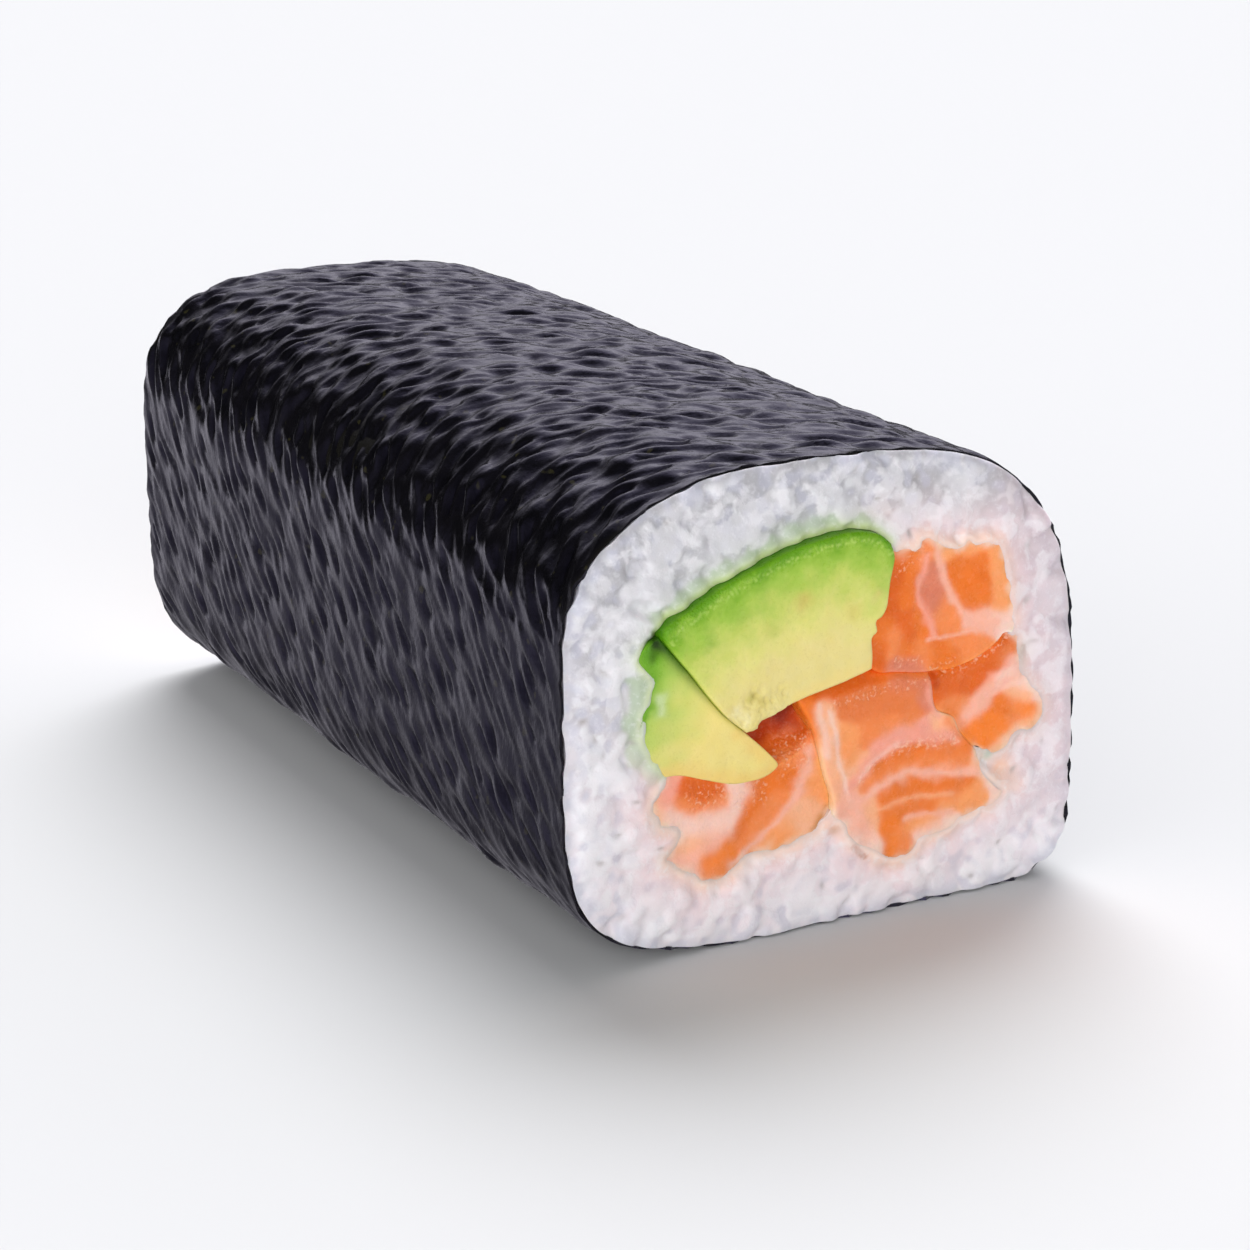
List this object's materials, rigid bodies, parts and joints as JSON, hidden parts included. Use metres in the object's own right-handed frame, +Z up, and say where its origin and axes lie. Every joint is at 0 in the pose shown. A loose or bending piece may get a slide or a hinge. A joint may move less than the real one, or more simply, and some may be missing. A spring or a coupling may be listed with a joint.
{
  "type": "thick sushi roll",
  "caption": "Straight thick sushi roll in nori with a rounded square section, cut across both ends to show rice, avocado wedges and salmon strips.",
  "frame": {"origin": "under the middle of the roll, on the surface that it rests on", "axes": "+Y along the roll, from the cut most seen towards the other cut; +Z up; +X to the right of someone who looks along +Y"},
  "size_m": [0.0504, 0.0922, 0.041],
  "materials": {
    "nori": "dark toasted seaweed sheet, finely wrinkled, with a soft sheen",
    "rice": "moist cooked white rice, slightly see-through, cut grains",
    "avocado": "soft ripe flesh, green at the skin side and pale yellow inside",
    "salmon": "raw orange fish with pale pink fat lines, wet"
  },
  "bodies": {
    "root": {"nori": "nori", "rice": "rice", "avocado_large": "avocado", "avocado_small": "avocado", "salmon_top_right": "salmon", "salmon_right": "salmon", "salmon_center": "salmon", "salmon_left": "salmon"}
  },
  "joints": []
}
